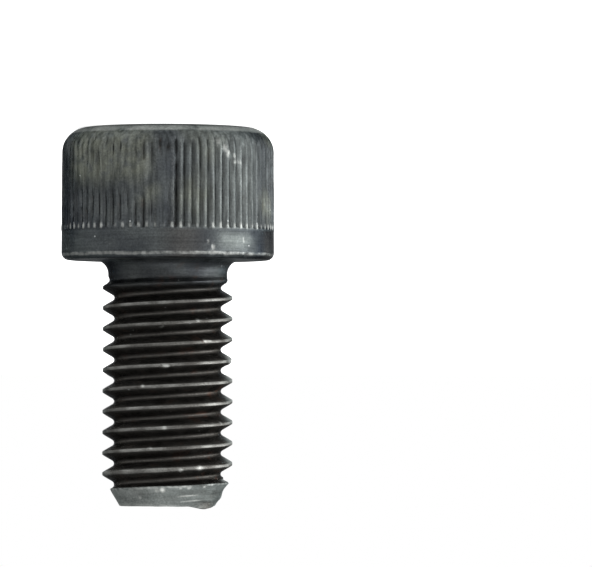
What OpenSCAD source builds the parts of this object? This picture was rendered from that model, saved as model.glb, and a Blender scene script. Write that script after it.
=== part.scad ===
// Hex socket cap screw, M8 x 15, coarse thread, cylindrical knurled head.
// One forged and thread-rolled piece. On its side it would roll, so it stands on its head:
// the flat face round the socket is on the table at z = 0, and the tip points up.

/* [Head] */
// Diameter of the head over the plain band
head_d = 12.9; // [12.4:0.05:13.4]
// Height of the head, socket face to bearing face
head_h = 8; // [7.2:0.1:9]
// Radius of the rounded rim round the socket face
rim_r = 1.35; // [0.6:0.05:1.6]
// Radius of the edge beside the bearing face
seat_edge_r = 0.45; // [0.2:0.05:0.8]

/* [Knurl] */
// Number of straight ridges round the head
knurl_count = 80; // [60:1:96]
// Depth of the grooves between the ridges
knurl_depth = 0.2; // [0.1:0.01:0.24]
// How far the tops of the ridges lie inside the surface of the plain band
ridge_drop = 0.04; // [0.03:0.01:0.1]
// Angle between the two sides of a groove
knurl_angle = 90; // [80:1:100]
// Distance from the socket face to the start of the ridges
knurl_from = 0.55; // [0.2:0.05:1]
// Height of the plain band between the ridges and the bearing face
band_h = 1.9; // [1:0.05:3]
// Length over which a groove runs out at either end
knurl_lead = 0.2; // [0.1:0.05:0.5]

/* [Socket] */
// Width of the hexagon across its flats
socket_af = 6; // [4.8:0.05:6.2]
// Depth of the hexagon's walls
socket_depth = 4.3; // [3:0.1:4.6]
// Extra depth of the cone at the bottom of the socket
socket_cone_h = 0.4; // [0.2:0.05:0.8]

/* [Shank] */
// Length from the bearing face to the tip
shank_l = 15; // [12:0.5:40]
// Diameter of the plain neck under the head
neck_d = 7.2; // [7:0.05:7.4]
// Radius of the fillet between neck and bearing face
fillet_r = 0.85; // [0.4:0.05:1]
// Diameter of the flat end of the tip
tip_d = 5.7; // [5:0.05:6.3]
// Angle of the tip cone to the axis
tip_angle = 30; // [25:1:45]

/* [Thread] */
// Outer diameter of the thread
major_d = 7.88; // [7.76:0.01:7.97]
// Diameter at the bottom of the groove
root_d = 6.44; // [6.2:0.01:6.6]
// Distance from crest to crest
pitch = 1.25; // [1:0.05:1.5]
// Width of the flat on the crest
crest_w = 0.18; // [0.1:0.01:0.22]
// Angle between the two flanks
flank_angle = 60; // [55:1:62]
// Distance from the bearing face to where the thread starts to rise
thread_from = 0.95; // [0.9:0.05:2]
// Length over which the thread rises to its full height
thread_rise = 0.8; // [0.4:0.05:1.5]
// Distance from the bearing face to a crest, on the +X side
crest_at = 1.65; // [1.5:0.025:2.5]

/* [Hidden] */

black_oxide = [0.23, 0.25, 0.26];
arc_steps = 128;
turn_steps = 60;
eps = 0.02;
// Cutters reach this far past what they cut.
over = 1;
// Radius where the cone at the bottom of the socket ends.
socket_cone_end_r = 0.4;
// The neck and the thread's body start this far inside the head.
neck_join_h = 1;
thread_join_h = 1.3;
// The thread's body starts this far inside the neck, and the end of the neck slopes down past it.
thread_sink = 0.04;
neck_slope_h = 0.3;
neck_slope_r = 0.16;

head_r = head_d / 2;
neck_r = neck_d / 2;
major_r = major_d / 2;
root_r = root_d / 2;
tip_r = tip_d / 2;
screw_l = head_h + shank_l;

// The star that forms the ridges: one point in each groove, one beyond each ridge.
groove_r = head_r - knurl_depth;
ridge_step = 360 / knurl_count;
ridge_half_w = PI * groove_r / knurl_count;
ridge_r = groove_r + ridge_half_w / tan(knurl_angle / 2);
band_z = head_h - band_h;

// A point of the tip cone outside the thread, from which the cone is cut.
clear_r = major_r + over;
clear_z = screw_l - (clear_r - tip_r) / tan(tip_angle);

// One pitch of thread, as places along the axis from the middle of a crest.
thread_depth = major_r - root_r;
flank_l = thread_depth * tan(flank_angle / 2);
root_w = pitch - crest_w - 2 * flank_l;
pitch_z = [-crest_w / 2, crest_w / 2, crest_w / 2 + flank_l, crest_w / 2 + flank_l + root_w];
pitch_r = [major_r, major_r, root_r, root_r];
rows_a_turn = len(pitch_z);
hidden_turns = ceil((crest_at + 1.5 * pitch) / pitch);
first_z = head_h + crest_at - hidden_turns * pitch;
rows = rows_a_turn * ceil((screw_l + 2 * pitch - first_z) / pitch);

// Smooth step from 0 to 1.
function ease(t) = let (u = min(max(t, 0), 1)) u * u * (3 - 2 * u);

// Share of its full height that the thread has at a distance z along the axis.
function risen(z) = ease((z - head_h - thread_from) / thread_rise);

// Point of the thread's surface in one row of the profile, at one step round the axis.
function thread_point(row, step) =
  let (
    turn = floor(row / rows_a_turn),
    k = row - turn * rows_a_turn,
    z = first_z + (turn + step / turn_steps) * pitch + pitch_z[k],
    start_r = neck_r - thread_sink,
    r = start_r + risen(z) * (pitch_r[k] - start_r),
    a = 360 * step / turn_steps
  )
  [r * cos(a), r * sin(a), z];

function thread_index(row, step) =
  step < turn_steps ? row * turn_steps + step : (row + rows_a_turn) * turn_steps;

// The rolled thread as one closed helical body, longer than needed at both ends.
module thread_form() {
  last = rows - 1;
  wall_points = [
    for (row = [0 : last])
      for (step = [0 : turn_steps - 1])
        thread_point(row, step)
  ];
  low_centre = len(wall_points);
  high_centre = low_centre + 1;
  points = concat(wall_points, [
    [0, 0, first_z + pitch / 2],
    [0, 0, thread_point(last, 0)[2] - pitch / 2]
  ]);
  wall = [
    for (row = [0 : last - 1])
      for (step = [0 : turn_steps - 1])
        if (step < turn_steps - 1 || row + rows_a_turn < last)
          each [
            [thread_index(row, step), thread_index(row + 1, step), thread_index(row + 1, step + 1)],
            [thread_index(row, step), thread_index(row + 1, step + 1), thread_index(row, step + 1)]
          ]
  ];
  low_loop = concat(
    [for (step = [0 : turn_steps - 1]) step],
    [for (row = [rows_a_turn : -1 : 0]) row * turn_steps]
  );
  high_loop = concat(
    [for (step = [0 : turn_steps - 1]) last * turn_steps + step],
    [for (row = [last - 1 : -1 : last - rows_a_turn]) row * turn_steps + turn_steps - 1],
    [last * turn_steps]
  );
  low_cap = [for (i = [0 : len(low_loop) - 2]) [low_loop[i], low_loop[i + 1], low_centre]];
  high_cap = [for (i = [0 : len(high_loop) - 2]) [high_loop[i + 1], high_loop[i], high_centre]];
  polyhedron(points = points, faces = concat(wall, low_cap, high_cap), convexity = 10);
}

// Half section of the turned blank of the head, with its two round edges.
module head_section() {
  translate([0, rim_r])
    square([head_r, head_h - rim_r - seat_edge_r]);
  square([head_r - rim_r, head_h / 2]);
  translate([0, head_h / 2])
    square([head_r - seat_edge_r, head_h / 2]);
  translate([head_r - rim_r, rim_r])
    circle(rim_r, $fn = arc_steps);
  translate([head_r - seat_edge_r, head_h - seat_edge_r])
    circle(seat_edge_r, $fn = arc_steps);
}

// Star-shaped bar for the ridges, between the plain rim and the plain band.
module knurl_form() {
  intersection() {
    linear_extrude(height = head_h)
      polygon([
        for (i = [0 : knurl_count - 1])
          for (side = [0, 1])
            let (r = side == 0 ? groove_r : ridge_r, a = (i + side / 2) * ridge_step)
              [r * cos(a), r * sin(a)]
      ]);
    cylinder(h = head_h, r = head_r - ridge_drop, $fn = arc_steps);
  }
  translate([0, 0, -eps])
    cylinder(h = knurl_from + eps, r = head_r + over, $fn = arc_steps);
  translate([0, 0, knurl_from])
    cylinder(h = knurl_lead, r1 = head_r, r2 = groove_r - eps, $fn = arc_steps);
  translate([0, 0, band_z - knurl_lead])
    cylinder(h = knurl_lead, r1 = groove_r - eps, r2 = head_r, $fn = arc_steps);
  translate([0, 0, band_z])
    cylinder(h = band_h + eps, r = head_r + over, $fn = arc_steps);
}

// Punched hexagon with a shallow cone at its bottom.
module socket_form() {
  translate([0, 0, -eps])
    cylinder(h = socket_depth + eps, r = socket_af / 2 / cos(30), $fn = 6);
  translate([0, 0, socket_depth - eps])
    cylinder(h = socket_cone_h + eps, r1 = socket_af / 2, r2 = socket_cone_end_r, $fn = arc_steps);
}

module head() {
  difference() {
    intersection() {
      rotate_extrude($fn = arc_steps)
        head_section();
      knurl_form();
    }
    socket_form();
  }
}

// Plain neck with the fillet that runs into the bearing face.
module neck() {
  rotate_extrude($fn = arc_steps)
    difference() {
      translate([0, head_h - neck_join_h])
        square([neck_r + fillet_r, neck_join_h + fillet_r]);
      translate([neck_r + fillet_r, head_h + fillet_r])
        circle(fillet_r, $fn = arc_steps);
    }
  translate([0, 0, head_h - neck_join_h])
    cylinder(h = neck_join_h + thread_from, r = neck_r, $fn = arc_steps);
  translate([0, 0, head_h + thread_from])
    cylinder(h = neck_slope_h, r1 = neck_r, r2 = neck_r - neck_slope_r, $fn = arc_steps);
}

// Threaded part of the shank, with the cone of the tip cut through the last turns.
module threaded_shank() {
  intersection() {
    thread_form();
    rotate_extrude($fn = arc_steps)
      polygon([
        [0, head_h - thread_join_h], [clear_r, head_h - thread_join_h],
        [clear_r, clear_z], [tip_r, screw_l], [0, screw_l]
      ]);
  }
}

module cap_screw() {
  color(black_oxide)
    union() {
      head();
      neck();
      threaded_shank();
    }
}

cap_screw();
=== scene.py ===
import math
import random

import bmesh
import bpy
from mathutils import Matrix, Vector, kdtree, noise


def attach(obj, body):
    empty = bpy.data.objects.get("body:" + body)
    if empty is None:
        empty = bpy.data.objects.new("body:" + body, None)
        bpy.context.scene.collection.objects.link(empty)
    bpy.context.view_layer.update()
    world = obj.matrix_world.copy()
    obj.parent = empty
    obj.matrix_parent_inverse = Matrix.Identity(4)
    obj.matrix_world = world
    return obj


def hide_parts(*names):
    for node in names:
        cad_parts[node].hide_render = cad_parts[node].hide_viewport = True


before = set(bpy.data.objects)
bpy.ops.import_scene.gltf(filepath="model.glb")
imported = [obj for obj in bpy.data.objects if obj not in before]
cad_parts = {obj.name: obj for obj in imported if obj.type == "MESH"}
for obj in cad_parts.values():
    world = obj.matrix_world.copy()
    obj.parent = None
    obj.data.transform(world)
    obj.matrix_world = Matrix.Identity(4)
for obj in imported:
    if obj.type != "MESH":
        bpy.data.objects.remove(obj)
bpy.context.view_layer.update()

# The cap screw: one piece of alloy steel, with a cold forged head, a punched hexagon, and the knurl and
# the thread rolled on. All of it is blackened and oiled. It stands on its head, the flat face on the
# table and the tip up. Sizes here are in millimetres, and the finished mesh is scaled to metres.
head_r = 6.43
head_face_r = 6.39
head_h = 8.0
rim_r = 1.5
seat_edge_r = 0.45
neck_r = 3.6
fillet_r = 0.85
neck_end_z = 8.95
screw_h = 23.0
tip_face_z = 22.83
# Points closer than this are one point.
fine = 1e-4
# A loop lies this far off the plane of the loop that it is bridged to, because a bridge within one plane
# can come out crossed.
bridge_step = 0.004


def smooth_step(low, high, value):
    """0 at `low`, 1 at `high` and smooth between them. It falls where `high` is the smaller one."""
    t = min(max((value - low) / (high - low), 0.0), 1.0)
    return t * t * (3 - 2 * t)


def wobble(x, y, z, scale, seed=0.0):
    """Smooth noise from -1 to 1 that changes over about `scale` millimetres."""
    return noise.noise(Vector((x / scale + seed, y / scale - seed, z / scale + 3 * seed)))


def drawn_in(v, factor):
    """Moves a point along its radius, to `factor` times its distance from the axis."""
    v.co.x *= factor
    v.co.y *= factor


def open_loop(bm, z):
    """The open edges of the mesh that lie at height z."""
    return [e for e in bm.edges if e.is_boundary and all(abs(v.co.z - z) < fine for v in e.verts)]


def round_corner(bm, vert, radius, segments):
    """Rounds one corner of a half section."""
    bmesh.ops.bevel(bm, geom=[vert], offset=radius, offset_type="OFFSET", segments=segments,
                    profile=0.5, affect="VERTICES", material=-1)


def half_section(bm, corners):
    """A chain of edges through the corners (r, z) of a half section."""
    path = [bm.verts.new((r, 0, z)) for r, z in corners]
    for pair in zip(path, path[1:]):
        bm.edges.new(pair)
    return path


def swept(part, levels):
    """Sweeps a half section round the axis: the first level (steps, turn in degrees, rise) spins a small
    sector, and each further level repeats what is there."""
    for k, (steps, turn, rise) in enumerate(levels):
        bmesh.ops.spin(part, geom=part.verts[:] + part.edges[:] + part.faces[:], cent=(0, 0, 0),
                       axis=(0, 0, 1), dvec=(0, 0, rise / steps), angle=math.radians(turn), steps=steps,
                       use_duplicate=k > 0)
        bmesh.ops.remove_doubles(part, verts=part.verts[:], dist=fine)


def put_in(bm, part):
    """Moves a finished part of the surface into the screw's mesh."""
    carrier = bpy.data.meshes.new("carrier")
    part.to_mesh(carrier)
    part.free()
    bm.from_mesh(carrier)
    bpy.data.meshes.remove(carrier)


bm = bmesh.new()

# The head, turned in one go from the flat face round the rim to the bearing face, with more rows where
# the grooves of the knurl run out.
face_r = 4.8
seat_r = 4.7
wall_cuts = 30
run_out_rows = (5.9, 6.0, 6.08, 6.15, 6.22, 6.29)
knurl_count = 80
ridge_columns = 10
part = bmesh.new()
path = half_section(part, ((face_r, 0), (head_r, 0), (head_r, head_h), (seat_r, head_h)))
round_corner(part, path[1], rim_r, 14)
round_corner(part, path[2], seat_edge_r, 7)
wall = [e for e in part.edges if e.calc_length() > head_h / 2]
bmesh.ops.subdivide_edges(part, edges=wall, cuts=wall_cuts)
for z in run_out_rows:
    bmesh.ops.bisect_plane(part, geom=part.verts[:] + part.edges[:], dist=fine,
                           plane_co=(0, 0, z), plane_no=(0, 0, 1))
ridge_turn = 360 / knurl_count
swept(part, ((ridge_columns, ridge_turn, 0), (knurl_count - 1, 360 - ridge_turn, 0)))
put_in(bm, part)

# The neck and its fillet, turned with fewer columns and bridged to the bearing face.
seat_join_w = 0.15
seat_join_z = head_h - bridge_step
part = bmesh.new()
path = half_section(part, ((seat_r - seat_join_w, seat_join_z), (neck_r, seat_join_z), (neck_r, neck_end_z)))
round_corner(part, path[1], fillet_r, 10)
swept(part, ((12, 30, 0), (11, 330, 0)))
put_in(bm, part)
bmesh.ops.bridge_loops(bm, edges=open_loop(bm, head_h) + open_loop(bm, seat_join_z))

# The socket: a hexagon with its mouth just broken, straight walls, and a shallow cone at the bottom.
socket_af = 6.0
socket_depth = 4.3
socket_rows = 12
socket_cone_h = 0.4
socket_cone_r = socket_af / 2 * 0.99
socket_cone_end_r = 0.4
socket_cone_rows = 8
mouth_h = 0.06
side_cuts = 23
face_join_r = 4.1


def drawn_on(bm, loop, scale=1.0, z=0.0, circle_r=None):
    """Extrudes an open loop, scales the new loop or lays it on a circle, and sets its height."""
    made = bmesh.ops.extrude_edge_only(bm, edges=loop)["geom"]
    new = {v for v in made if isinstance(v, bmesh.types.BMVert)}
    for v in new:
        if circle_r is None:
            drawn_in(v, scale)
        else:
            v.co.xy = v.co.xy.normalized() * circle_r
        v.co.z = z
    return [e for e in made if isinstance(e, bmesh.types.BMEdge) and new.issuperset(e.verts)]


part = bmesh.new()
bmesh.ops.create_circle(part, cap_ends=False, segments=6, radius=socket_af / 2 / math.cos(math.pi / 6))
corner = part.verts[:][0].co
to_x_axis = Matrix.Rotation(-math.atan2(corner.y, corner.x), 3, "Z")
bmesh.ops.rotate(part, verts=part.verts[:], cent=(0, 0, 0), matrix=to_x_axis)
bmesh.ops.subdivide_edges(part, edges=part.edges[:], cuts=side_cuts)
mouth = part.edges[:]
for v in part.verts:
    v.co.z = mouth_h
mouth_edge = drawn_on(part, mouth, 1 + mouth_h / (socket_af / 2), 0.0)
drawn_on(part, mouth_edge, z=bridge_step, circle_r=face_join_r)
ring = mouth
for k in range(1, socket_rows + 1):
    ring = drawn_on(part, ring, 1.0, mouth_h + (socket_depth - mouth_h) * k / socket_rows)
ring = drawn_on(part, ring, z=socket_depth, circle_r=socket_cone_r)
for k in range(1, socket_cone_rows + 1):
    share = k / socket_cone_rows
    ring = drawn_on(part, ring, z=socket_depth + socket_cone_h * share,
                    circle_r=socket_cone_r * (1 - share) + socket_cone_end_r * share)
bmesh.ops.edgeloop_fill(part, edges=ring)
put_in(bm, part)
bmesh.ops.bridge_loops(bm, edges=open_loop(bm, 0.0) + open_loop(bm, bridge_step))

# The rolled thread: one pitch of its profile, spun up the axis, so that the turns join edge to edge. It
# starts inside the head, rises out of the neck, and the cone of the tip cuts its last turns.
major_r = 3.94
root_r = 3.22
pitch = 1.25
crest_w = 0.18
crest_round = 0.035
root_round = 0.115
flank_l = (major_r - root_r) * math.tan(math.radians(30))
thread_turns = 14
crest_z = head_h + 1.65 - 2 * pitch
rise_from, rise_over = 0.95, 0.8
tip_r = 2.85
tip_slope = math.tan(math.radians(30))
tip_mesh_z = 20.6
last_groove_z = 21.6
join_gap = 0.03
part = bmesh.new()
profile = ((root_r, -pitch / 2), (root_r, -crest_w / 2 - flank_l), (major_r, -crest_w / 2),
           (major_r, crest_w / 2), (root_r, crest_w / 2 + flank_l), (root_r, pitch / 2))
path = half_section(part, [(r, crest_z + z) for r, z in profile])
for k, radius in ((1, root_round), (4, root_round), (2, crest_round), (3, crest_round)):
    round_corner(part, path[k], radius, 2)
flanks = [e for e in part.edges if e.calc_length() > flank_l]
bmesh.ops.subdivide_edges(part, edges=flanks, cuts=2)
more_turns = thread_turns - 1
swept(part, ((12, 30, pitch / 12), (11, 330, pitch * 11 / 12),
             (more_turns, 360 * more_turns, pitch * more_turns)))
near_tip = [e for e in part.edges if min(v.co.z for v in e.verts) > tip_mesh_z
            and max(v.co.z for v in e.verts) < screw_h + 0.5]
bmesh.ops.subdivide_edges(part, edges=near_tip, cuts=1, use_grid_fill=True)


def thread_turns_at(x, y, z):
    """Turns along the thread: whole numbers on its crest, halves in the middle of its groove."""
    return (z - crest_z) / pitch - math.atan2(y, x) / (2 * math.pi)


def cone_r_at(z):
    """Radius of the tip's cone at height z."""
    return tip_r + (screw_h - z) * tip_slope


for v in part.verts:
    x, y, z = v.co
    r = math.hypot(x, y)
    turns = thread_turns_at(x, y, z)
    groove_z = z + (math.floor(turns) + 0.5 - turns) * pitch
    filled_r = r + smooth_step(last_groove_z, last_groove_z + 0.4, groove_z) * (major_r - r)
    worn_crest = smooth_step(3.8, major_r, filled_r) * (0.018 + 0.018 * wobble(x, y, z, 0.7, 2.0))
    uneven_z = z - head_h + 0.12 * wobble(x, y, z, 1.5, 6.0)
    risen = smooth_step(rise_from, rise_from + rise_over, uneven_z)
    new_r = neck_r + risen * (filled_r - worn_crest - neck_r)
    drawn_in(v, min(new_r, cone_r_at(z) + 0.03 * wobble(x, y, z, 0.9, 4.0)) / r)
for z, above, below in ((neck_end_z + join_gap, False, True), (tip_face_z, True, False)):
    bmesh.ops.bisect_plane(part, geom=part.verts[:] + part.edges[:] + part.faces[:], dist=fine,
                           plane_co=(0, 0, z), plane_no=(0, 0, 1), clear_outer=above, clear_inner=below)
put_in(bm, part)
bmesh.ops.bridge_loops(bm, edges=open_loop(bm, neck_end_z) + open_loop(bm, neck_end_z + join_gap))

# The cut end of the tip, a little dished: rings at a share of its radius, sunk below its edge.
ring = open_loop(bm, tip_face_z)
for share, sink in ((0.98, 0.0), (0.9, 0.02), (0.75, 0.05), (0.5, 0.08), (0.25, 0.09), (0.08, 0.09)):
    ring = drawn_on(bm, ring, z=tip_face_z - sink, circle_r=tip_r * share)
bmesh.ops.edgeloop_fill(bm, edges=ring)
bmesh.ops.remove_doubles(bm, verts=bm.verts[:], dist=fine)

# What the finish reads from each point: how rubbed it is, with painted highlights and a painted
# reflection in the same layer; how hollow it is, with painted shade on the thread's flanks and a
# painted shadow under the head in the same layer; its olive, pale, brown and rusty share, the pale
# one also holding a painted sheen and painted highlights; and whether its fine marks run round the axis.
wear_and_highlight = bm.verts.layers.float.new("wear_and_highlight")
hollow_and_shade = bm.verts.layers.float.new("hollow_and_shade")
olive = bm.verts.layers.float.new("olive")
pale = bm.verts.layers.float.new("pale")
brown = bm.verts.layers.float.new("brown")
rust = bm.verts.layers.float.new("rust")
round_marks = bm.verts.layers.float.new("round_marks")


def spot(value, middle, half):
    """1 in the middle of a zone, falling to 0 at its two ends."""
    return smooth_step(0.0, 1.0, 1 - abs(value - middle) / half)


def front_angle(x, y):
    """Degrees round the axis from the front, -Y: up to 180 on the +X side, down to -180 on the other."""
    return math.degrees(math.atan2(x, -y))


# The knurl: grooves pressed between the ridges, from the rim to the plain band. They are shallow where
# the head is rubbed, and no two of them start or end at the same height.
knurl_depth = 0.2
groove_half = 0.395
knurl_from_z = 0.6
band_z = 6.16
head_wall_r = 5.0
head_limit_r = 6.448
seat_z = head_h - 0.01
chance = random.Random(7)
groove_start = [knurl_from_z + 0.5 * chance.random() ** 2 for k in range(knurl_count)]
groove_end = [band_z + 0.1 * chance.random() for k in range(knurl_count)]
ridge_bright = [chance.random() for k in range(knurl_count)]
for v in bm.verts:
    x, y, z = v.co
    r = math.hypot(x, y)
    if r < head_wall_r or z > seat_z:
        continue
    front = front_angle(x, y)
    place = math.atan2(y, x) / (2 * math.pi) * knurl_count
    groove = round(place) % knurl_count
    ridge = math.floor(place) % knurl_count
    into = max(0.0, 1 - abs(place - round(place)) / groove_half)
    uneven_z = z + 0.05 * wobble(x, y, z, 0.5, 1.0)
    along = smooth_step(groove_start[groove] - 0.05, groove_start[groove] + 0.3, uneven_z)
    along *= 1 - smooth_step(groove_end[groove] - 0.14, groove_end[groove] + 0.03, uneven_z)

    # Rubbed shallow: smears all round, most of the +X half, a strip at the front, and little of the
    # -X half, apart from the slanting scuff by the rim.
    smear = 0.5 + 0.5 * wobble(x, y, 1.6 * z, 1.5, 5.0) + 0.25 * wobble(x, y, z, 0.45, 8.0)
    rubbed = smooth_step(0.45, 0.85, smear) * 0.75
    rubbed_half = smooth_step(-3, 3, front) * (1 - smooth_step(105, 125, front))
    rubbed += rubbed_half * (0.2 + 0.3 * smear + 0.75 * spot(z + 0.5 * (smear - 0.5), 3.2, 1.5))
    rubbed += 0.7 * spot(front, 3, 8) * smooth_step(1.2, 2.0, z)
    rubbed += 0.6 * spot(front, 82, 28) * smooth_step(0.4, 2.0, z)
    crisp = smooth_step(-78, -60, front) * (1 - smooth_step(-10, 2, front))
    rubbed *= 1 - 0.85 * crisp
    scuff = spot(z - 0.085 * (-front - 26), 1.0, 0.5) * spot(front, -35, 14)
    rubbed = min(max(rubbed, 0.6 * scuff), 0.93)

    # The wall: it narrows a little to the face, is lumpy where it is knurled, and stands up at the end
    # of each ridge.
    taper = (head_r - head_face_r) * (1 - z / head_h)
    depth = knurl_depth * into * along * (1 - rubbed) * (1 - 0.2 * crisp)
    in_knurl = smooth_step(0.5, 0.9, z) * (1 - smooth_step(band_z, band_z + 0.12, z))
    lump = (0.008 + 0.01 * wobble(x, y, z, 0.6, 3.0)) * in_knurl
    ridge_end = spot(z, 6.06, 0.26) * (1 - into) ** 4 * (0.25 + 0.75 * ridge_bright[ridge])
    ridge_end *= 1 - 0.75 * spot(front, 8, 13)
    drawn_in(v, min(r - taper - depth + lump + 0.03 * ridge_end, head_limit_r) / r)

    # Rubbed bright, with painted light in the same layer: the tops and ends of the ridges, rubbed and
    # partly a painted highlight and glint; the scuff; the edge of the face, rubbed and partly a painted
    # highlight that is strongest at the front; the edge by the bearing face, rubbed and partly a painted
    # highlight; and a patch on the band that is a painted reflection.
    ridge_top = (1 - into) * in_knurl
    # Ridge tops and ends: rubbed metal, and a painted highlight and glint.
    v[wear_and_highlight] = 0.06 * ridge_top ** 2 * (0.5 + ridge_bright[ridge]) + 0.34 * ridge_end
    v[wear_and_highlight] += 0.44 * scuff * smooth_step(-0.3, 0.4, wobble(x, y, z, 0.22, 12.0))
    # The edge of the face: rubbed, and a painted highlight that is lighter towards the front.
    rim_wear_and_highlight = smooth_step(0.02, 0.12, z) * (1 - smooth_step(0.3, 0.5, z))
    rim_wear_and_highlight *= 0.8 + 0.2 * math.cos(math.radians(front))
    rim_rub_and_highlight_amount = (0.3 + 0.3 * wobble(x, y, z, 1.1, 9.0)) * (1 - 0.3 * spot(front, -26, 45))
    v[wear_and_highlight] += rim_wear_and_highlight * rim_rub_and_highlight_amount
    # The edge by the bearing face: rubbed, and a painted highlight, strongest near -28 degrees and on the +X
    # side.
    seat_edge_wear_and_highlight = spot(z, 7.7 + 0.05 * wobble(x, y, z, 0.9, 17.0), 0.17)
    seat_edge_wear_and_highlight *= 0.95 + 0.65 * spot(front, -28, 26) + 0.55 * smooth_step(-5, 15, front)
    v[wear_and_highlight] += 0.24 * seat_edge_wear_and_highlight * (0.85 + 0.6 * wobble(x, y, z, 0.3, 11.0))
    # A painted reflection: a paler patch on the band.
    band_painted_reflection = 0.75 * spot(front, -39 + 4 * wobble(x, y, z, 0.8, 19.0), 19) * spot(z, 6.95, 0.8)
    v[wear_and_highlight] += band_painted_reflection * 0.05
    v[hollow_and_shade] = into * along * (1 - rubbed) * (1 - 0.55 * crisp)

    # The oxide's colour: pale on the -X half of the knurl, which is a painted sheen on the side of the
    # right lamp; pale by the edge of the face, partly a painted highlight, and a painted highlight along
    # the rim on the +X half; the painted reflection on the band; olive near the rim on the +X half and in
    # patches, brown in two places of the band.
    band = smooth_step(6.15, 6.35, z)
    # A painted sheen: the -X half, towards the right lamp, paler.
    right_lamp_sheen = smooth_step(-1, -8, front) * smooth_step(-130, -90, front)
    right_lamp_sheen *= 0.2 + 0.3 * smooth_step(-8, -38, front) - 0.37 * smooth_step(-48, -62, front)
    right_lamp_sheen *= 1 - 0.4 * spot(front, -18, 14) * spot(z, 4.1, 1.2)
    # A painted highlight: a pale line by the rim on the +X half.
    rim_painted_highlight = 0.3 * spot(z, 0.6, 0.45) * smooth_step(5, 25, front) * (1 - smooth_step(100, 125, front))
    band_pale = band * (0.05 * smooth_step(-2, 14, front) + 0.08 * smooth_step(30, 45, front))
    v[pale] = max(right_lamp_sheen * (1 - band), rim_painted_highlight, 0.8 * rim_wear_and_highlight, band_pale, band_painted_reflection)
    rim_olive = smooth_step(4, 16, front) * (1 - smooth_step(55, 72, front)) * (1 - smooth_step(2.6, 4.2, z))
    v[olive] = max(rim_olive, smooth_step(0.1, 0.5, wobble(x, y, z, 3.0, 15.0)))
    v[olive] *= (1 - spot(front, 1, 9)) * (1 - 0.8 * smooth_step(4.2, 5.2, z) * spot(front, 10, 40))
    brown_side = 0.5 * smooth_step(-58, -68, front) * smooth_step(-150, -110, front)
    v[brown] = band * max(0.6 * spot(front, -8, 18), brown_side)
    v[round_marks] = band

# Dents and nicks, each pressed in round a place: (degrees from the front, height, distance from the
# axis, reach, depth, share rubbed bright). The first ones are those of the front, on the head, the
# thread and the tip, and the others are scattered.
tree = kdtree.KDTree(len(bm.verts))
bm.verts.ensure_lookup_table()
for k, v in enumerate(bm.verts):
    tree.insert(v.co, k)
tree.balance()


def pressed(angle, z, r, reach, depth, rub):
    """Presses the surface towards the axis round one place, and rubs it."""
    turn = math.radians(angle)
    for co, index, distance in tree.find_range((r * math.sin(turn), -r * math.cos(turn), z), reach):
        share = smooth_step(0, 1, 1 - distance / reach)
        v = bm.verts[index]
        drawn_in(v, 1 - depth * share / math.hypot(co.x, co.y))
        v[wear_and_highlight] = min(max(v[wear_and_highlight] + rub * share, 0.0), 1.0)


head_nicks = (
    (38, 0.5, 6.2, 0.35, 0.06, 0.1), (29, 0.3, 6.0, 0.4, 0.05, -0.4), (-19, 0.3, 5.9, 0.25, 0.04, 0.2),
    (-58, 0.6, 6.2, 0.35, 0.05, 0.1), (12, 7.75, 6.4, 0.25, 0.05, 0.08), (-14, 7.8, 6.4, 0.22, 0.05, 0.05),
    (-24, 7.72, 6.4, 0.3, 0.06, 0.08), (-33, 7.78, 6.4, 0.25, 0.05, 0.1), (-47, 7.8, 6.35, 0.3, 0.07, 0.05),
    (-22, 7.05, 6.43, 0.2, 0.03, 0.3), (-25, 7.3, 6.43, 0.22, 0.03, 0.35), (4, 6.6, 6.43, 0.1, 0.02, 0.1))
thread_nicks = (
    (-36, 12.9, 3.9, 0.16, 0.05, 1.2), (1, 14.4, 3.9, 0.16, 0.04, 1.0), (6, 12.1, 3.75, 0.16, 0.03, 0.8),
    (3, 18.1, 3.9, 0.15, 0.05, 0.7), (-28, 11.6, 3.9, 0.2, 0.03, 0.6), (22, 15.6, 3.9, 0.15, 0.04, 0.5),
    (4.5, 21.8, 3.5, 0.22, 0.03, 1.0), (10, 21.84, 3.5, 0.2, 0.02, 0.3), (28, 20.4, 3.9, 0.16, 0.03, 0.5),
    (-13, 21.7, 3.55, 0.13, 0.02, 0.5), (-21, 21.66, 3.6, 0.2, 0.02, 0.6), (-38, 21.6, 3.6, 0.16, 0.02, 0.5),
    (30, 22.27, 3.25, 0.18, 0.02, 0.3), (-24, 12.35, 3.4, 0.2, 0.02, 0.15), (-34, 19.2, 3.5, 0.2, 0.02, 0.25),
    (-12, 20.7, 3.9, 0.2, 0.04, 0.6), (-30, 20.5, 3.9, 0.25, 0.03, 0.5), (16, 19.3, 3.9, 0.14, 0.03, 0.5))
for nick in head_nicks + thread_nicks:
    pressed(*nick)
for k in range(46):
    pressed(chance.uniform(65, 285), chance.choice((0.4, 0.55, 7.7, 7.8)), 6.3, chance.uniform(0.12, 0.35),
            chance.uniform(0.02, 0.06), chance.uniform(0.0, 0.4))
for k in range(26):
    pressed(chance.uniform(0, 360), chance.uniform(6.3, 7.5), 6.45, chance.uniform(0.08, 0.2),
            chance.uniform(0.01, 0.03), chance.uniform(0.0, 0.35))
for k in range(40):
    z = chance.uniform(10, 21)
    angle = chance.uniform(0, 360)
    pressed(angle, z, 3.93, chance.uniform(0.1, 0.22), chance.uniform(0.02, 0.07), chance.uniform(0.1, 0.6))
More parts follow.
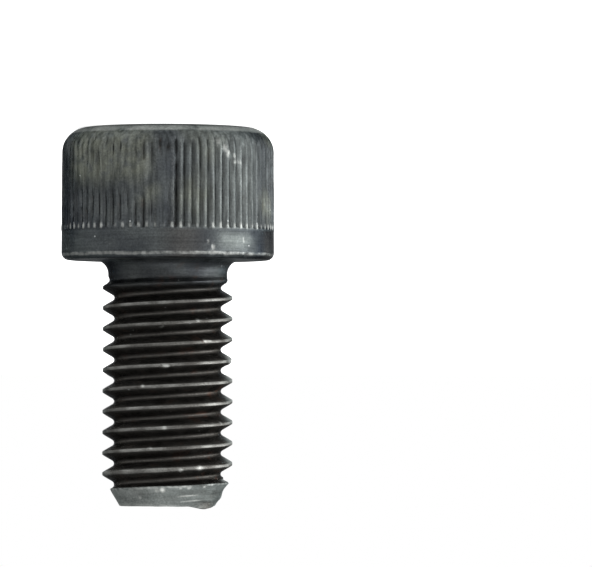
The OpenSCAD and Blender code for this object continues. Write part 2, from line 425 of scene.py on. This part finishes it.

# The marks of the face, the socket and the shank: light crests, flanks painted dark as shade, a
# painted shadow on the neck under the head, a painted sheen on the crests at two sides, painted light
# and shade on the tip's cone, rust in a few grooves, a folded burr on one crest, and a small lip left
# at the edge of the tip.
face_z = 0.01
socket_r = 4.0
for v in bm.verts:
    x, y, z = v.co
    r = math.hypot(x, y)
    if z < face_z:
        v[pale] = 0.25 + 0.2 * wobble(x, y, z, 1.3, 37.0)
    elif r < socket_r and z < 5.0:
        v[brown] = 0.8
    if z < seat_z:
        continue
    v[round_marks] = 1.0
    if r > socket_r:
        v[pale] = 0.16 + 0.12 * wobble(x, y, z, 1.4, 35.0)
        continue
    front = front_angle(x, y)
    turns = thread_turns_at(x, y, z)
    from_crest = abs(turns - round(turns)) * pitch
    before_crest = (round(turns) - turns) * pitch
    in_cone = smooth_step(-0.1, 0.02, r - cone_r_at(z)) * smooth_step(20.9, 21.1, z)
    end_face = smooth_step(22.5, 22.6, z) * (1 - in_cone)
    on_thread = (1 - in_cone) * (1 - end_face)
    full_thread = smooth_step(9.9, 10.3, z) * on_thread

    # The thread: rubbed crests, wider in the last turn, a faint painted highlight along the root, and
    # flanks painted dark down to the root as shade; the neck under the head is painted dark as a shadow.
    light_half = 0.07 + 0.07 * smooth_step(20.3, 20.55, z)
    crest = smooth_step(9.9, 10.5, z) * on_thread
    crest *= 1 - smooth_step(light_half, light_half + 0.05, from_crest)
    crest *= 1 - 0.4 * spot(front, -18, 26)
    root = smooth_step(0.56, 0.6, from_crest) * on_thread
    # Painted shade: the flanks, darker down to the root.
    flank = smooth_step(0.1, 0.16, from_crest) * (1 - root) * smooth_step(9.5, 10.1, z) * on_thread
    # Rubbed crests, and a faint painted highlight along the root.
    v[wear_and_highlight] += crest * (0.15 + 0.12 * wobble(x, y, z, 0.9, 21.0)) + root * 0.04
    # A painted shadow: the neck under the head, darker.
    neck_painted_shadow = 0.5 + 0.4 * smooth_step(8.7, 9.1, z)
    neck_painted_shadow *= smooth_step(8.0, 8.3, z) * (1 - smooth_step(9.7, 10, z))
    v[hollow_and_shade] = max(flank, neck_painted_shadow)
    v[brown] = smooth_step(9.3, 10.0, z) * on_thread + 0.3 * end_face + in_cone
    rusty = spot(front, -33, 15) * spot(z, 12.75, 0.35) + spot(front, -22, 16) * spot(z, 13.45, 0.35)
    rusty += spot(front, 1, 12) * spot(z, 9.35, 0.45) + spot(front, -52, 9) * spot(z, 16.2, 0.4)
    scattered = smooth_step(0.28, 0.5, wobble(x, y, z, 1.0, 41.0)) * flank * (1 - 0.85 * spot(front, 30, 75))
    v[rust] = smooth_step(-0.25, 0.3, wobble(x, y, z, 0.3, 39.0)) * min(rusty + 0.8 * scattered, 1.0)

    # A painted sheen: crests that are paler at the two sides, their halves towards the head on -X, their
    # tips on +X, with the painted shade of their flanks taken off there.
    shoulder = spot(front, -84, 26) * smooth_step(0.0, 0.1, before_crest) * smooth_step(3.4, 3.6, r)
    shoulder *= full_thread
    crest_tip = 0.6 * spot(front, 90, 26) * smooth_step(3.5, 3.75, r) * full_thread
    v[wear_and_highlight] += 0.2 * shoulder
    v[hollow_and_shade] *= 1 - max(shoulder, crest_tip)

    # The tip: a pale cone with a bluish place and a painted shade on its -X side, painted lighter on its
    # front and +X side, nicked along its edge, with two strokes across it.
    blue_place = 0.5 * spot(front, 20, 24) * spot(z, 22.2, 0.6)
    # Painted shade: the cone less pale on its -X side.
    shaded = max(0.2 * blue_place, 0.3 * spot(front, -62, 24) * spot(z, 22.05, 0.45))
    end_pale = 0.4 * end_face * (0.8 + 0.6 * wobble(x, y, z, 1.2, 33.0))
    v[pale] = max(0.9 * in_cone * (1 - shaded) + end_pale, 0.9 * shoulder, crest_tip)
    # Painted light: the cone made brighter on its front and +X side.
    lit_side = smooth_step(-25, 20, front) * (1 - smooth_step(90, 130, front))
    v[wear_and_highlight] += 0.15 * in_cone * lit_side * (1 - blue_place)
    cone_edge = spot(z, 21.64 + 0.0026 * front, 0.12) * in_cone
    v[wear_and_highlight] += cone_edge * (0.14 + 0.5 * wobble(x, y, z, 0.3, 23.0)) * (1 + spot(front, -20, 26))
    v[wear_and_highlight] += 0.14 * smooth_step(22.62, 22.8, z) * in_cone * (0.8 + wobble(x, y, z, 0.5, 29.0))
    stroke = spot(z - 0.004 * (front + 22), 22.17, 0.08) * spot(front, -22, 18)
    stroke += spot(z - 0.004 * (front + 28), 22.48, 0.08) * spot(front, -28, 20)
    v[wear_and_highlight] += 0.6 * min(stroke, 1.0) * in_cone

    # The folded burr.
    fold = spot(front, -84, 22) * spot(z, 14.1, 0.3) * (r > 3.5)
    v.co.z += 0.14 * fold
    drawn_in(v, 1 - 0.035 * fold)
    v[wear_and_highlight] += 0.15 * fold

    # The cone is trimmed a little at its two sides, most of all at the start of the -X one.
    trimmed = spot(front, -90, 50) * (0.28 * spot(z, 21.28, 0.2) + 0.11 * spot(z, 21.85, 0.55))
    trimmed += 0.06 * spot(front, -95, 50) * smooth_step(22.3, 22.6, z)
    trimmed += 0.07 * spot(front, 90, 60) * smooth_step(21.5, 21.8, z)
    drawn_in(v, 1 - trimmed * smooth_step(2.0, 2.8, r) / max(r, 1))

    # The lip, dark and brown, and the uneven end face.
    lip = spot(front, -51, 28) * spot(r, 2.8, 0.5) * smooth_step(22.6, 22.85, z)
    v.co.z += 0.165 * lip
    drawn_in(v, 1 + 0.02 * lip)
    by_lip = spot(front, -53, 30) * smooth_step(22.42, 22.66, z) * smooth_step(2.2, 2.6, r)
    v[pale] *= 1 - 0.9 * by_lip
    v[brown] = max(v[brown], by_lip)
    v[wear_and_highlight] *= 1 - 0.85 * by_lip
    if z > 22.5:
        v.co.z += (0.02 * wobble(x, y, z, 0.8, 31.0) - 0.01) * (1 - lip)

sharp_angle = math.radians(38)
bmesh.ops.recalc_face_normals(bm, faces=bm.faces[:])
bmesh.ops.scale(bm, vec=(0.001, 0.001, 0.001), verts=bm.verts[:])
for f in bm.faces:
    f.smooth = True
for e in bm.edges:
    e.smooth = e.is_manifold and e.calc_face_angle() < sharp_angle
mesh = bpy.data.meshes.new("cap_screw_body")
bm.to_mesh(mesh)
bm.free()
screw = bpy.data.objects.new("cap_screw_body", mesh)
bpy.context.scene.collection.objects.link(screw)

# The finish: black oxide, from bluish to grey, under films of olive, brown and pale grey, the pale one
# also carrying a painted sheen and painted highlights, darker in the hollows, where the thread's
# flanks and the neck are painted shade, with some rust, bare steel where it is rubbed and also as
# painted highlights and a painted reflection, and a few painted glints.
blue_black = (0.022, 0.0245, 0.0275)
grey_black = (0.038, 0.042, 0.043)
olive_film = (0.082, 0.087, 0.072)
brown_film = (0.036, 0.0345, 0.032)
pale_film_and_sheen = (0.112, 0.124, 0.120)
brown_stain = (0.04, 0.024, 0.017)
recess_and_shade_dark = (0.016, 0.0145, 0.013)
rust_red = (0.074, 0.04, 0.029)
bare_steel_and_highlight = (0.42, 0.43, 0.41)
painted_glint_colour = (0.4, 0.42, 0.42)
oxide = bpy.data.materials.new("black_oxide")
oxide.use_nodes = True
nodes, links = oxide.node_tree.nodes, oxide.node_tree.links
shader = nodes["Principled BSDF"]


def add(kind, settings, inputs):
    """Adds a node, sets its properties, and fills its inputs with values or with other nodes' outputs."""
    node = nodes.new(kind)
    for key, value in settings.items():
        setattr(node, key, value)
    for key, value in inputs.items():
        if isinstance(value, bpy.types.NodeSocket):
            links.new(value, node.inputs[key])
        else:
            node.inputs[key].default_value = value
    return node


def ranged(value, low, high, to_low=0.0, to_high=1.0):
    """Maps low..high smoothly to to_low..to_high."""
    made = add("ShaderNodeMapRange", {"interpolation_type": "SMOOTHSTEP"},
               {"Value": value, "From Min": low, "From Max": high, "To Min": to_low, "To Max": to_high})
    return made.outputs["Result"]


def maths(operation, *values, clamp=False):
    """One sum on outputs or plain numbers."""
    made = add("ShaderNodeMath", {"operation": operation, "use_clamp": clamp}, dict(enumerate(values)))
    return made.outputs[0]


def blend(share, a, b, kind="MIX"):
    """Mixes two colours, each an output or (red, green, blue)."""
    made = add("ShaderNodeMix", {"data_type": "RGBA", "blend_type": kind}, {"Factor": share})
    for key, value in ((6, a), (7, b)):
        if isinstance(value, bpy.types.NodeSocket):
            links.new(value, made.inputs[key])
        else:
            made.inputs[key].default_value = (*value, 1)
    return made.outputs[2]


def stored(name):
    """What a layer of the mesh says."""
    return add("ShaderNodeAttribute", {"attribute_name": name}, {}).outputs["Fac"]


where = nodes.new("ShaderNodeTexCoord").outputs["Object"]


def placed(stretch):
    """The place in millimetres, stretched along an axis where its factor is below 1."""
    return add("ShaderNodeMapping", {}, {"Vector": where, "Scale": [1000 * s for s in stretch]}).outputs[0]


def noisy(stretch, scale, detail=3.0, roughness=0.55):
    """Noise with about `scale` spots to a millimetre."""
    made = add("ShaderNodeTexNoise", {}, {"Vector": placed(stretch), "Scale": scale, "Detail": detail,
                                          "Roughness": roughness})
    return made.outputs["Fac"]


blotch = noisy((1, 1, 1), 0.42, 5.0)
patch = noisy((1, 1, 1), 1.5, 4.0)
grain = noisy((1, 1, 1), 9.0, 3.0, 0.6)
upright_streak = noisy((4.5, 4.5, 0.5), 1.0, 3.0)
round_streak = noisy((0.35, 0.35, 7.0), 1.0, 4.0)
round_share = stored("round_marks")
streak = maths("ADD", maths("MULTIPLY", upright_streak, maths("SUBTRACT", 1.0, round_share)),
               maths("MULTIPLY", round_streak, round_share))

colour = blend(ranged(blotch, 0.32, 0.68), blue_black, grey_black)
olive_share = maths("MULTIPLY", stored("olive"), ranged(patch, 0.15, 0.7))
colour = blend(maths("MULTIPLY", olive_share, 0.85), colour, olive_film)
colour = blend(stored("brown"), colour, brown_film)
# The pale layer: a pale film, and a painted sheen, painted highlights and a painted reflection.
colour = blend(stored("pale"), colour, pale_film_and_sheen)
streak_share = maths("MULTIPLY_ADD", round_share, -0.6, 1.0)
shade = maths("MULTIPLY_ADD", ranged(streak, 0.3, 0.7, -0.32, 0.38), streak_share, 1.0)
shade = maths("MULTIPLY", shade, ranged(grain, 0.25, 0.75, 0.8, 1.2))
grey_shade = add("ShaderNodeCombineXYZ", {}, {"X": shade, "Y": shade, "Z": shade}).outputs[0]
colour = blend(1.0, colour, grey_shade, "MULTIPLY")
stain_share = maths("MULTIPLY", stored("hollow_and_shade"), ranged(patch, 0.58, 0.72, 0.0, 0.5))
colour = blend(stain_share, colour, brown_stain)
# Darker in the knurl's grooves, and painted shade on the thread's flanks and under the head.
colour = blend(maths("MULTIPLY", stored("hollow_and_shade"), 0.35), colour, recess_and_shade_dark)
colour = blend(maths("MULTIPLY", stored("rust"), 0.6), colour, rust_red)
uneven_wear_and_highlight = maths("ADD", stored("wear_and_highlight"), maths("MULTIPLY", maths("SUBTRACT", grain, 0.5), 0.35))
bare_and_highlight_share = maths("MULTIPLY", uneven_wear_and_highlight, ranged(stored("wear_and_highlight"), 0.02, 0.2), clamp=True)
# Bare steel where it is rubbed, and painted highlights and a painted reflection.
colour = blend(bare_and_highlight_share, colour, bare_steel_and_highlight)
# Painted glints: small light specks scattered over the surface.
cells = add("ShaderNodeTexVoronoi", {}, {"Vector": placed((1, 1, 1)), "Scale": 1.7})
painted_glint_share = maths("MULTIPLY", ranged(cells.outputs["Distance"], 0.07, 0.1, 1.0, 0.0),
              ranged(cells.outputs["Color"], 0.74, 0.76))
colour = blend(maths("MULTIPLY", painted_glint_share, 0.45), colour, painted_glint_colour)
links.new(colour, shader.inputs["Base Color"])

rough = maths("ADD", ranged(patch, 0.3, 0.7, 0.40, 0.52), maths("MULTIPLY", stored("pale"), 0.1))
links.new(rough, shader.inputs["Roughness"])
shader.inputs["Metallic"].default_value = 1.0
shader.inputs["Specular Tint"].default_value = (0.25, 0.26, 0.27, 1)
relief = maths("ADD", grain, maths("MULTIPLY", streak, 0.8))
bump = add("ShaderNodeBump", {}, {"Strength": 0.5, "Distance": 0.00003, "Height": relief})
links.new(bump.outputs["Normal"], shader.inputs["Normal"])
mesh.materials.append(oxide)

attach(screw, "root")
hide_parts("cap_screw")

# The table: a pale matt board, far larger than the screw. It glows a little, so that it is as white as
# the room round it.
board_r = 3.0
bm = bmesh.new()
bmesh.ops.create_circle(bm, cap_ends=True, segments=96, radius=board_r)
mesh = bpy.data.meshes.new("table_board")
bm.to_mesh(mesh)
bm.free()
table = bpy.data.objects.new("table_board", mesh)
bpy.context.scene.collection.objects.link(table)
board = bpy.data.materials.new("pale_board")
board.use_nodes = True
shader = board.node_tree.nodes["Principled BSDF"]
shader.inputs["Base Color"].default_value = (0.9, 0.9, 0.9, 1)
shader.inputs["Roughness"].default_value = 0.9
shader.inputs["Specular IOR Level"].default_value = 0.1
shader.inputs["Emission Color"].default_value = (1, 1, 1, 1)
shader.inputs["Emission Strength"].default_value = 0.8
mesh.materials.append(board)

# The light: a white room, a wide lamp on the -X side, which is the right of the picture, one in front
# and one above the tip. All three are soft and point at the middle of the screw.
world = bpy.data.worlds.new("white_room")
bpy.context.scene.world = world
world.use_nodes = True
world.node_tree.nodes["Background"].inputs["Color"].default_value = (1, 1, 1, 1)
world.node_tree.nodes["Background"].inputs["Strength"].default_value = 1.0
screw_middle = Vector((0, 0, 0.0115))


def soft_lamp(name, place, size, power):
    """A rectangular lamp at a place, pointed at the screw."""
    lamp = bpy.data.lights.new(name, "AREA")
    lamp.shape = "RECTANGLE"
    lamp.size, lamp.size_y = size
    lamp.energy = power
    holder = bpy.data.objects.new(name, lamp)
    bpy.context.scene.collection.objects.link(holder)
    holder.location = place
    holder.rotation_euler = (screw_middle - Vector(place)).to_track_quat("-Z", "Y").to_euler()


soft_lamp("lamp_right", (-0.30, 0.02, 0.075), (0.5, 0.14), 2.0)
soft_lamp("lamp_front", (-0.22, -0.45, 0.2), (0.3, 0.3), 1.0)
soft_lamp("lamp_tip", (-0.05, -0.2, 0.5), (0.4, 0.4), 0.9)

# The camera: 320 mm away, level with the thread, and turned over so that the head is at the top of the
# picture. It is aimed so that the axis and the height level_z lie at the two pixels below.
picture_w, picture_h = 592, 567
px_per_mm = 16.55
axis_px, level_px, level_z = 167.5, 401.0, 0.0165
distance = 0.32
roll = 180 + 0.1
camera_data = bpy.data.cameras.new("camera")
camera = bpy.data.objects.new("camera", camera_data)
bpy.context.scene.collection.objects.link(camera)
bpy.context.scene.camera = camera
px_per_radian = px_per_mm * distance * 1000
camera_data.sensor_width = 36
camera_data.lens = 36 * px_per_radian / picture_w
camera_data.clip_start = 0.01
camera_data.clip_end = 20
right_turn = (picture_w / 2 - axis_px) / px_per_radian
down_turn = (picture_h / 2 - level_px) / px_per_radian
camera.location = (0, -distance, level_z)
camera.rotation_mode = "QUATERNION"
upright = Matrix.Rotation(math.radians(90), 4, "X")
rolled = upright @ Matrix.Rotation(math.radians(roll), 4, "Z")
aimed = rolled @ Matrix.Rotation(-right_turn, 4, "Y") @ Matrix.Rotation(-down_turn, 4, "X")
camera.rotation_quaternion = aimed.to_quaternion()
bpy.context.scene.view_settings.view_transform = "Standard"
